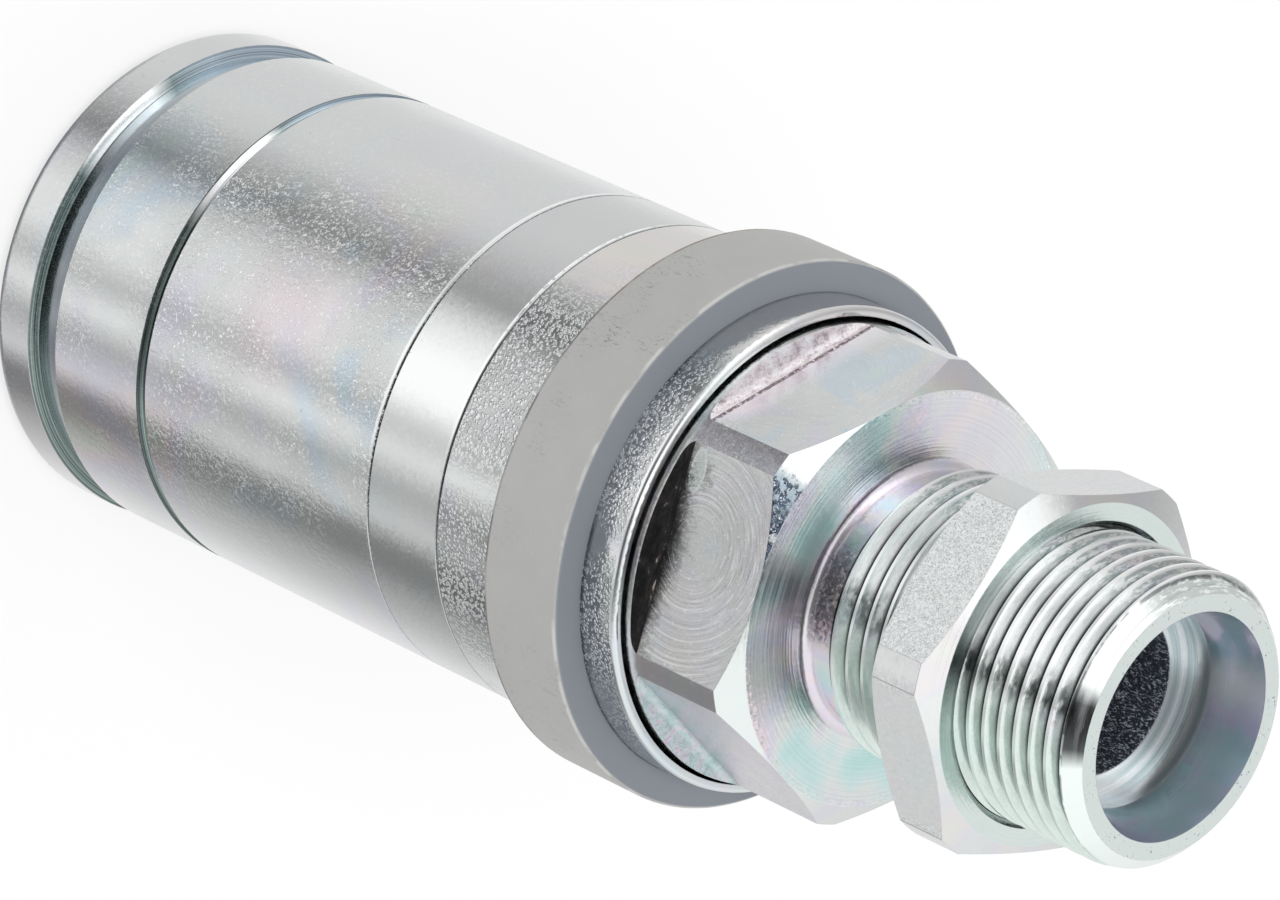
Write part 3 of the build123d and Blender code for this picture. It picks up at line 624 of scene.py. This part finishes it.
def face_material():
    """The hexagon's turned face: lathe rings, teal and lavender fans, one painted dark fan and painted
    highlights on two arcs.
    """
    material, t, p = new_material("zinc_turned_face")
    base = t.mix(0.9, NEUTRAL, fan(t, p))
    base = t.tint(base, p.arc(-125, -55, 20), 0.55, (0.86, 0.87, 0.88))
    # a painted dark reflection: one dark fan, broken by the lathe rings
    shade = p.arc(22, 36, 9)
    groove = p.above(rings(t, p, 3.2), 0.47, 0.16)
    base = t.mix(t.times(shade, t.linear(groove, 0.40, 0.28)), base, (0.09, 0.13, 0.15))
    # painted highlights on two arcs
    glow = t.most(p.arc(-170, -112, 30), p.arc(-20, -4, 12))
    base = t.tint(base, glow, 0.7, (0.93, 0.96, 0.97))
    edge = p.above(p.r, 15.2, 0.3)
    share = t.linear(p.arc(-10, 40, 12), -0.28, 1.0)
    metal(t, p, base, 0.20, height=rings(t, p, 4.5, detail=3.0), bump=0.8, depth_mm=0.04, metallic=share,
          sparkle=t.linear(edge, 0.2, 0.05), anisotropy=0.6)
    return material


def neck_material():
    """The neck behind the thread and the ring at its foot: lavender and straw, with painted shade nearly
    black on one side.
    """
    material, t, p = new_material("zinc_neck")
    base = rainbow(t, p, 0.9, scale=0.16, seed=31.0)
    ring = p.below(p.z, FACE_Z + 0.9, 0.2)
    base = t.tint(base, ring, 0.5, (0.80, 0.70, 0.80))
    # painted shade: nearly black on one side above the ring
    shade = t.times(p.arc(8, 44, 12), p.above(p.z, FACE_Z + 0.5, 0.4))
    base = t.tint(base, shade, 0.7, (0.10, 0.10, 0.11))
    metal(t, p, base, 0.15, height=rings(t, p, 6.0, detail=3.0), bump=0.35, metallic=0.92,
          sparkle=t.linear(shade, 0.7, 0.05), anisotropy=0.4)
    return material


def bar_material():
    """The round bar: fine rings round the axis, and one speckled corner strip between two flats."""
    material, t, p = new_material("zinc_bar")
    base = rainbow(t, p, 0.45, scale=0.12, seed=5.0)
    strip = t.times(p.arc(-12, 12, 3), p.above(p.z, SHOULDER_Z + 0.1, 0.2))
    dots = specks(t, p.mm, 0.16, low=0.50, high=0.60)
    grain = t.mix(dots, (0.36, 0.35, 0.39), (0.62, 0.61, 0.64))
    base = t.tint(base, strip, 0.8, grain)
    metal(t, p, base, 0.18, height=rings(t, p, 7.0, detail=3.0), bump=0.2, sparkle=0.06, anisotropy=0.5)
    return material


def thread_material():
    """The cut thread: painted highlights on one side and on the crests, streaks along the helix, painted
    shade on the flanks and in the roots, a pale lead chamfer with painted shade and a painted highlight.
    """
    material, t, p = new_material("zinc_thread")
    base = rainbow(t, p, 0.5, scale=0.12, seed=11.0)
    base = t.tint(base, p.arc(38, 150, 20), 0.75, (0.68, 0.80, 0.74))
    # a painted highlight on one side
    base = t.tint(base, p.arc(-32, 22, 14), 0.9, (0.95, 0.97, 0.97))
    # streaks follow the helix: height less the rise of the turn
    along = t.linear(p.turn, -THREAD_PITCH, p.z)
    place = t.add("CombineXYZ", {0: t.times(p.x, 0.9), 1: t.times(p.y, 0.9), 2: t.times(along, 6.0)})
    streak = t.noise(place, 1.0, detail=4.0, roughness=0.75)
    crest = p.above(p.r, THREAD_R - 0.14, 0.12)
    torn = t.times(p.above(streak, 0.50, 0.07), t.linear(crest, -0.55, 1.0))
    torn = t.times(torn, t.linear(p.arc(-100, -24, 12), 0.55, 0.12))
    base = t.mix(torn, base, (0.30, 0.36, 0.36))
    # painted highlights on the crests over one arc
    fine = t.times(crest, p.arc(-96, -28, 14))
    base = t.mix(fine, base, (0.96, 0.97, 0.97))
    edge = t.noise(p.stretched(0.5, 0.5, 2.0), 1.6)
    # painted shade: dark streaks on the flanks over one arc
    shade = t.times(p.arc(19, 33, 8),
                    t.times(p.above(edge, 0.50, 0.12), p.between(p.r, THREAD_R - 0.7, THREAD_R - 0.03, 0.1)))
    base = t.tint(base, shade, 0.7, (0.06, 0.08, 0.08))
    tip = p.above(p.z, LEAD_Z + 0.12, 0.08)
    # painted shade on the lead chamfer over one arc; the rest of the chamfer is pale
    chamfer_shade = t.times(p.arc(20, 46, 8), tip)
    pale = t.minus(tip, chamfer_shade, clamp=True)
    base = t.tint(base, pale, 0.8, (0.82, 0.88, 0.86))
    mottle = t.times(t.times(tip, p.arc(-108, -26, 14)), p.above(streak, 0.47, 0.06))
    base = t.tint(base, mottle, 0.55, (0.34, 0.36, 0.34))
    burr = t.times(p.between(p.z, LEAD_Z + 0.02, LEAD_Z + 0.18, 0.05), p.above(edge, 0.44, 0.08))
    base = t.tint(base, burr, 0.7, (0.10, 0.12, 0.12))
    base = t.tint(base, chamfer_shade, 0.85, (0.035, 0.035, 0.04))
    # a painted highlight on the lead chamfer over one arc
    chamfer_highlight = t.times(p.arc(-20, 14, 8), tip)
    base = t.mix(chamfer_highlight, base, WHITE)
    # painted shade in the thread roots
    root = t.times(p.below(p.r, THREAD_R - 0.7, 0.2), p.below(p.z, LEAD_Z - 0.3, 0.2))
    base = t.tint(base, root, 0.95, (0.02, 0.03, 0.03))
    veil = t.linear(p.arc(-28, 22, 10), 0.5, t.times(p.arc(36, 84, 12), 0.35))
    veil = t.times(veil, t.linear(torn, -0.8, 1.0))
    share = t.minus(1.0, t.plus(t.times(pale, 0.75), veil, clamp=True))
    height = t.linear(streak, 0.8, t.times(rings(t, p, 9.0), 0.3))
    metal(t, p, base, 0.13, height=height, bump=0.25, edge_mm=0.03, metallic=share)
    return material


def end_material():
    """The tube end: mint grey rim, bluish cone with painted shade and a painted highlight, a painted
    highlight on the seat, and a bore in painted shade with light specks as painted glints.
    """
    material, t, p = new_material("zinc_tube_end")
    base = rainbow(t, p, 0.5, scale=0.2, seed=17.0)
    rim = p.above(p.r, CONE_MOUTH_R + 0.02, 0.06)
    base = t.tint(base, rim, 0.8, (0.78, 0.87, 0.84))
    cone = t.times(p.between(p.r, SEAT_R + 0.01, CONE_MOUTH_R, 0.06), p.above(p.z, CONE_LOW - 0.23, 0.1))
    streak = t.noise(t.add("CombineXYZ", {0: t.times(p.turn, 9.0), 1: t.times(p.z, 0.30)}), 1.3, detail=3.0)
    tint = t.ramp(streak, [(0.30, (0.28, 0.44, 0.50)), (0.44, (0.42, 0.54, 0.62)), (0.52, (0.56, 0.50, 0.68)),
                           (0.60, (0.50, 0.46, 0.66)), (0.70, (0.40, 0.64, 0.66))])
    teal_side = t.most(p.arc(128, 181, 24), p.arc(-181, -156, 20))
    tint = t.tint(tint, teal_side, 0.7, (0.42, 0.62, 0.63))
    tint = t.tint(tint, p.arc(-144, -120, 16), 0.75, (0.80, 0.84, 0.83))
    # painted shade over one arc of the cone and a painted highlight in streaks over the next
    tint = t.tint(tint, p.arc(-74, -20, 20), 0.6, (0.34, 0.37, 0.38))
    tint = t.mix(t.times(p.arc(-108, -72, 14), p.above(streak, 0.50, 0.10)), tint, (0.95, 0.88, 1.0))
    base = t.tint(base, cone, 0.9, tint)
    seat = t.times(p.between(p.r, BORE_R + 0.1, SEAT_R + 0.07, 0.05),
                   p.between(p.z, SEAT_LOW - 0.7, CONE_LOW - 0.03, 0.1))
    line = p.above(rings(t, p, 2.6), 0.5, 0.14)
    base = t.tint(base, seat, 0.8, t.mix(line, (0.48, 0.60, 0.62), (0.90, 0.93, 0.94)))
    # a painted highlight on the seat over one arc
    base = t.tint(base, t.times(seat, p.arc(96, 150, 20)), 0.7, WHITE)
    # painted shade in the bore, with light specks as painted glints
    bore = p.below(p.r, BORE_R + 0.1, 0.1)
    slate = t.ramp(specks(t, p.stretched(1.5, 1.5, 0.6), 0.24, low=0.54, high=0.62),
                   [(0.2, (0.045, 0.055, 0.07)), (0.8, (0.62, 0.66, 0.72))])
    base = t.mix(bore, base, slate)
    dots = specks(t, p.mm, 0.2, low=0.52, high=0.62)
    scratch = specks(t, p.mm, 0.30, low=0.66, high=0.70)
    base = darken(t, base, t.linear(t.times(scratch, rim), -0.75, 1.0))
    tilt = t.times(t.linear(dots, 0.7, 0.3), t.linear(bore, 1.0, 0.05))
    rough = t.linear(bore, 0.25, 0.20)
    inside = p.below(p.r, CONE_MOUTH_R, 0.06)
    share = t.minus(1.0, t.linear(bore, 0.5, t.times(inside, 0.25)))
    metal(t, p, base, rough, height=rings(t, p, 7.0), bump=0.15, sparkle=tilt, sparkle_mm=0.24, edge_mm=0.06,
          metallic=share)
    return material


def nut_material():
    """The lock nut: granular flats with light specks that are partly painted glints, smooth flats, corner
    strips, brushed chamfers with a painted glint, and a face with painted dark fans.
    """
    material, t, p = new_material("zinc_nut")
    facing = t.add("SeparateXYZ", {0: t.add("TexCoord", out=NORMAL_COORDS)}, out=None).outputs[2]
    side = t.math("ABSOLUTE", facing)
    face = p.above(side, 0.95, 0.04)
    chamfer = p.between(side, 0.05, 0.95, 0.04)
    corner = t.times(p.above(p.r, NUT_CORNER_R, 0.03), p.below(side, 0.05, 0.04))
    base = rainbow(t, p, 0.35, scale=0.12, seed=23.0)
    outer = p.above(facing, 0.0, 0.1)
    # painted dark reflections: two dark fans on the outer face
    rose = t.mix(t.times(outer, t.most(p.arc(20, 34, 12), p.arc(-172, -160, 12))), (0.78, 0.88, 0.85),
                 (0.50, 0.58, 0.59))
    base = t.tint(base, face, 0.85, rose)
    base = t.tint(base, corner, 0.6, (0.76, 0.77, 0.77))
    plain = t.most(t.most(corner, face), chamfer)
    flat = t.minus(1.0, plain)
    dots = specks(t, p.mm, 0.14, low=0.42, high=0.54)
    quiet = t.mix(0.5, base, (0.80, 0.81, 0.81))
    # granular flats in dark and light specks; the light specks are partly painted glints
    grainy = t.mix(dots, (0.50, 0.52, 0.52), (0.88, 0.90, 0.90))
    smooth = t.most(p.arc(40, 88, 4), p.arc(-84, -29, 4))
    glint = t.times(chamfer, p.arc(-34, 12, 14))
    base = t.tint(base, glint, 0.8, WHITE)
    texture_and_painted_light = t.mix(flat, base, t.mix(t.times(smooth, 0.8), grainy, quiet))
    tilt = t.linear(t.times(dots, flat), 0.16, t.linear(flat, 0.10, 0.05))
    height = t.times(rings(t, p, 5.0, detail=3.0), t.linear(plain, 0.9, 0.1))
    rough = t.linear(flat, 0.34, 0.18)
    share = t.minus(1.0, t.most(t.times(flat, 0.55), t.times(glint, 0.6)))
    metal(t, p, texture_and_painted_light, rough, height=height, bump=0.7, sparkle=tilt, sparkle_mm=0.28, metallic=share)
    return material


def plain_metal(name, colour, roughness, lines=8.0, bump=0.15):
    """Turned steel inside the coupling."""
    material, t, p = new_material(name)
    tone = t.noise(p.mm, 0.5, detail=3.0)
    base = t.ramp(tone, [(0.3, tuple(c * 0.85 for c in colour)), (0.7, colour)])
    metal(t, p, base, roughness, height=rings(t, p, lines, detail=3.0), bump=bump, edge_mm=0.05)
    return material


def soft_material(name, colour, roughness):
    """Black seal rubber or white seal plastic with a faint grain."""
    material, t, p = new_material(name)
    grain = t.noise(p.mm, 12.0, detail=3.0)
    base = t.ramp(grain, [(0.3, tuple(c * 0.8 for c in colour)), (0.7, colour)])
    normal = t.add("Bump", {"Strength": 0.2, "Distance": 0.02 * MM, "Height": grain})
    shader = t.add("BsdfPrincipled", {"Base Color": base, "Roughness": roughness, "Normal": normal})
    t.add("OutputMaterial", {0: shader}, out=None)
    return material


def paint(obj, material):
    obj.data.materials.clear()
    obj.data.materials.append(material)


# ---- the threaded adapter, which stands for its CAD node

# place along one pitch and height as a share of the depth: crest flat, flank, rounded root, flank
THREAD_FORM = [(0.0, 0.0), (0.09, 0.0), (0.42, -0.93), (0.46, -1.0), (0.54, -1.0), (0.58, -0.93), (0.91, 0.0),
               (1.0, 0.0)]
THREAD_STATIONS = [0.0, 0.09, 0.17, 0.255, 0.34, 0.42, 0.46, 0.54, 0.58, 0.66, 0.745, 0.83, 0.91]
THREAD_SIDES = 180


def thread_radius(place):
    """Radius of the cut thread at a place in pitches."""
    place = place % 1.0
    for (a, ha), (b, hb) in zip(THREAD_FORM, THREAD_FORM[1:]):
        if place <= b:
            return THREAD_R + THREAD_DEPTH * (ha + (hb - ha) * (place - a) / (b - a))
    return THREAD_R


def make_thread():
    """A true right-handed helix from the neck to the lead chamfer."""
    first = int(THREAD_LOW / THREAD_PITCH) - 2
    last = int(END_Z / THREAD_PITCH) + 2
    rows = [turn + s for turn in range(first, last) for s in THREAD_STATIONS]
    mesh = bpy.data.meshes.new("adapter_thread")
    points, faces = [], []
    for row in rows:
        for i in range(THREAD_SIDES + 1):
            angle = 2 * pi * i / THREAD_SIDES
            z = (row + i / THREAD_SIDES) * THREAD_PITCH
            z = min(max(z, THREAD_LOW), END_Z)
            # the thread runs out in a chamfer at both ends
            r = min(thread_radius(row), THREAD_R - LEAD + (END_Z - z), NECK_R + (z - THREAD_LOW))
            points.append((r * cos(angle) * MM, r * sin(angle) * MM, z * MM))
    step = THREAD_SIDES + 1
    for a in range(len(rows) - 1):
        for i in range(THREAD_SIDES):
            p = a * step + i
            quad = (p, p + 1, p + step + 1, p + step)
            heights = [points[q][2] for q in quad]
            if max(heights) - min(heights) > 1e-7:
                faces.append(quad)
    mesh.from_pydata(points, [], faces)
    bm = bmesh.new()
    bm.from_mesh(mesh)
    bmesh.ops.remove_doubles(bm, verts=bm.verts, dist=2e-6)
    loose = [v for v in bm.verts if not v.link_faces]
    bmesh.ops.delete(bm, geom=loose, context="VERTS")
    bmesh.ops.recalc_face_normals(bm, faces=bm.faces)
    for f in bm.faces:
        f.smooth = True
    for e in bm.edges:
        if len(e.link_faces) == 2 and e.calc_face_angle(0) > radians(30):
            e.smooth = False
    bm.to_mesh(mesh)
    bm.free()
    obj = bpy.data.objects.new("adapter_thread", mesh)
    scene.collection.objects.link(obj)
    paint(obj, thread_material())
    return obj


# the adapter's material slots, in their order
BAR, FLAT, FACE, NECK, TUBE_END, SHOULDER, CHAMFER = range(7)


def adapter_slot(centre, normal):
    """The material slot of a face of the adapter, by its centre in millimetres and its normal."""
    r = hypot(centre.x, centre.y)
    outwards = normal.x * centre.x + normal.y * centre.y
    slot = BAR
    if SHOULDER_Z - 0.02 < centre.z < FACE_Z - 0.001 and r < BAR_R - 0.05 and outwards > 0:
        if abs(normal.z) < 0.05 and abs(outwards - FLAT_R) < 0.1:
            slot = FLAT
        elif centre.z < SHOULDER_TOP:
            slot = SHOULDER
    if abs(centre.z - SHOULDER_Z) < 0.02 and normal.z > 0.9 and r > 14:
        slot = SHOULDER
    if CHAMFER_LOW < centre.z < FACE_Z - 0.001 and outwards > 0 and 0.2 < normal.z < 0.95:
        slot = CHAMFER
    if abs(centre.z - FACE_Z) < 0.01 and normal.z > 0.9:
        slot = FACE
    if FACE_Z + 0.001 < centre.z < THREAD_LOW + 0.1 and r > INNER_R:
        slot = NECK
    if r < INNER_R or centre.z > END_Z - 0.01:
        slot = TUBE_END
    return slot


def make_adapter():
    """The adapter's milled and turned body, from its CAD node, with the plain thread cylinder taken off."""
    mesh = nodes["adapter_body"].data.copy()
    mesh.name = "adapter_hexagon"
    bm = bmesh.new()
    bm.from_mesh(mesh)
    mesh.materials.clear()
    bmesh.ops.remove_doubles(bm, verts=bm.verts, dist=1e-6)
    gone = []
    for f in bm.faces:
        c = f.calc_center_median() / MM
        r = hypot(c.x, c.y)
        in_thread = c.z > THREAD_LOW + 0.02 and r > NECK_R + 0.02
        on_end = c.z > END_Z - 0.01 and r < THREAD_R - LEAD - 0.01
        if in_thread and not on_end:
            gone.append(f)
    bmesh.ops.delete(bm, geom=gone, context="FACES")
    bmesh.ops.recalc_face_normals(bm, faces=bm.faces)
    for f in bm.faces:
        f.smooth = True
        f.material_index = adapter_slot(f.calc_center_median() / MM, f.normal)
    # sharp edges, also at the shallow steps of the tube end
    for e in bm.edges:
        low, high = sorted(v.co.z / MM for v in e.verts)
        level = high - low < 0.01 and min(abs(low - z) for z in (SEAT_LOW, CONE_LOW, END_Z)) < 0.05
        inner = level and hypot(*e.verts[0].co.xy) / MM < INNER_R
        if len(e.link_faces) == 2 and (inner or e.calc_face_angle(0) > radians(25)):
            e.smooth = False
    bm.to_mesh(mesh)
    bm.free()
    if "custom_normal" in mesh.attributes:
        mesh.attributes.remove(mesh.attributes["custom_normal"])
    obj = bpy.data.objects.new("adapter_hexagon", mesh)
    scene.collection.objects.link(obj)
    for make in (bar_material, milled_material, face_material, neck_material, end_material, shoulder_material,
                 chamfer_material):
        mesh.materials.append(make())
    return obj


def make_spring(node):
    """A copy of a spring's node that rides on the coupling body in place of the hidden node."""
    mesh = nodes[node].data.copy()
    mesh.name = node + "_coil"
    obj = bpy.data.objects.new(node + "_coil", mesh)
    scene.collection.objects.link(obj)
    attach(obj, "coupling_body")
    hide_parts(node)
    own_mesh(obj)
    return obj


# ---- studio

def make_world():
    """Soft studio light. Metal sees long pale and dark panels; everything else sees an even pale room."""
    world = bpy.data.worlds.new("studio")
    scene.world = world
    world.use_nodes = True
    t = Tree(world.node_tree)
    x, y, z = t.add("SeparateXYZ", {0: t.add("TexCoord", out=GENERATED_COORDS)}, out=None).outputs
    turn = t.linear(t.math("ARCTAN2", y, x), 1 / (2 * pi), 0.5)
    # azimuth in degrees and brightness of the panels, those level with the part or below it and those above
    low = [(-180, 0.86), (-137, 0.90), (-121, 0.82), (-89, 0.82), (-73, 0.84), (-57, 0.78), (-42, 0.54),
           (-27, 0.30), (-10, 0.80), (6, 1.03), (24, 1.04), (39, 0.66), (53, 1.06), (68, 0.54), (86, 0.84),
           (98, 0.27), (110, 0.27), (122, 0.46), (138, 0.62), (152, 0.76), (168, 0.86), (180, 0.86)]
    high = [(-180, 0.95), (-164, 0.85), (-150, 0.75), (-130, 0.55), (-106, 0.60), (-82, 0.85), (-66, 1.4),
            (-50, 1.7), (-34, 1.1), (-14, 0.30), (10, 0.12), (36, 0.10), (58, 0.16), (74, 0.5), (86, 1.1),
            (120, 1.1), (150, 1.05), (180, 0.95)]
    lower = t.ramp(turn, [(a / 360 + 0.5, v) for a, v in low])
    upper = t.ramp(turn, [(a / 360 + 0.5, v) for a, v in high])
    level = t.linear(z, 2.2, 0.5, clamp=True)
    panels = t.mix(level, lower, upper)
    top = t.linear(z, 5.0, -3.75, clamp=True)
    panels = t.mix(top, panels, (1.25, 1.25, 1.25))
    under = t.linear(z, -6.0, -4.8, clamp=True)
    panels = t.mix(under, panels, (0.25, 0.26, 0.28))
    path = t.add("LightPath", out=None)
    colour = t.mix(path.outputs["Is Glossy Ray"], (0.86, 0.86, 0.86), panels)
    colour = t.mix(path.outputs["Is Camera Ray"], colour, (1.0, 1.0, 1.0))
    t.add("OutputWorld", {0: t.add("Background", {0: colour, 1: 1.0})}, out=None)
    world.cycles.sampling_method = "NONE"


FLOOR_RADIUS_M = 3.0


def make_floor():
    """A plain pale floor that keeps the part's soft shadow."""
    mesh = bpy.data.meshes.new("floor")
    bm = bmesh.new()
    bmesh.ops.create_circle(bm, cap_ends=True, radius=FLOOR_RADIUS_M, segments=96)
    bm.to_mesh(mesh)
    bm.free()
    floor = bpy.data.objects.new("floor", mesh)
    scene.collection.objects.link(floor)
    material = bpy.data.materials.new("floor_white")
    material.use_nodes = True
    t = Tree(material.node_tree)
    grain = t.noise(t.add("TexCoord", out=OBJECT_COORDS), 40.0)
    colour = t.ramp(grain, [(0.0, (0.955, 0.955, 0.955)), (1.0, (0.975, 0.975, 0.975))])
    shader = t.add("BsdfPrincipled", {"Base Color": colour, "Roughness": 0.9, "Specular IOR Level": 0.0})
    # the floor is seen as a white backdrop, through which a part of the shadow stays
    path = t.add("LightPath", out=None)
    seen = t.plus(path.outputs["Is Camera Ray"], path.outputs["Is Glossy Ray"])
    seen = t.plus(seen, path.outputs["Is Transmission Ray"], clamp=True)
    white = t.add("Emission", {"Color": (1.0, 1.0, 1.0, 1.0), "Strength": 1.0})
    shader = t.add("MixShader", {0: t.times(seen, 0.65), 1: shader, 2: white})
    t.add("OutputMaterial", {0: shader}, out=None)
    paint(floor, material)
    floor.visible_glossy = False


def make_lamp(name, place, size, power):
    """A soft round lamp for the floor, the rubber and the shadow. The metal mirrors only the panels."""
    data = bpy.data.lights.new(name, "AREA")
    data.shape = "DISK"
    data.size = size
    data.energy = power
    lamp = bpy.data.objects.new(name, data)
    scene.collection.objects.link(lamp)
    lamp.location = place
    lamp.rotation_euler = (-lamp.location.normalized()).to_track_quat("-Z", "Y").to_euler()
    lamp.visible_glossy = False


# ---- assembly

make_camera()
make_world()
make_floor()
make_lamp("key", (0.50, 0.146, 1.0), 0.5, 3.5)

paint(nodes["front_sleeve"], front_sleeve_material())
paint(nodes["sleeve_band"], band_material())
paint(nodes["rear_sleeve"], rear_sleeve_material())
paint(nodes["rubber_ring"], rubber_material())
paint(nodes["lock_nut"], nut_material())

steel = plain_metal("steel_turned", (0.62, 0.63, 0.64), 0.3)
wire = plain_metal("steel_spring", (0.42, 0.43, 0.46), 0.28, lines=3.0)
bright = plain_metal("steel_ball", (0.82, 0.82, 0.84), 0.08, bump=0.03)
seal = soft_material("rubber_seal", (0.030, 0.030, 0.032), 0.5)
plastic = soft_material("plastic_white", (0.80, 0.79, 0.74), 0.45)
for name in ["socket_body", "locking_ring", "locking_ring_clip", "nose_clip", "nose_washer", "valve_nose",
             "valve_poppet", "valve_guide"]:
    paint(nodes[name], steel)
# the fixed end of a spring is its top end or its bottom end
for node, joint, top_fixed in [("front_spring", "sleeve_slide", False), ("rear_spring", "sleeve_slide", True),
                               ("valve_spring", "valve_slide", True)]:
    paint(make_spring(node), wire)
for name in ["probe_o_ring", "joint_o_ring", "dust_seal", "valve_seal"]:
    paint(nodes[name], seal)
paint(nodes["locking_balls"], bright)
paint(nodes["probe_backup_ring"], plastic)

for piece in [make_adapter(), make_thread()]:
    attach(piece, "coupling_body")
    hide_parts("adapter_body")

scene.view_settings.view_transform = "Standard"
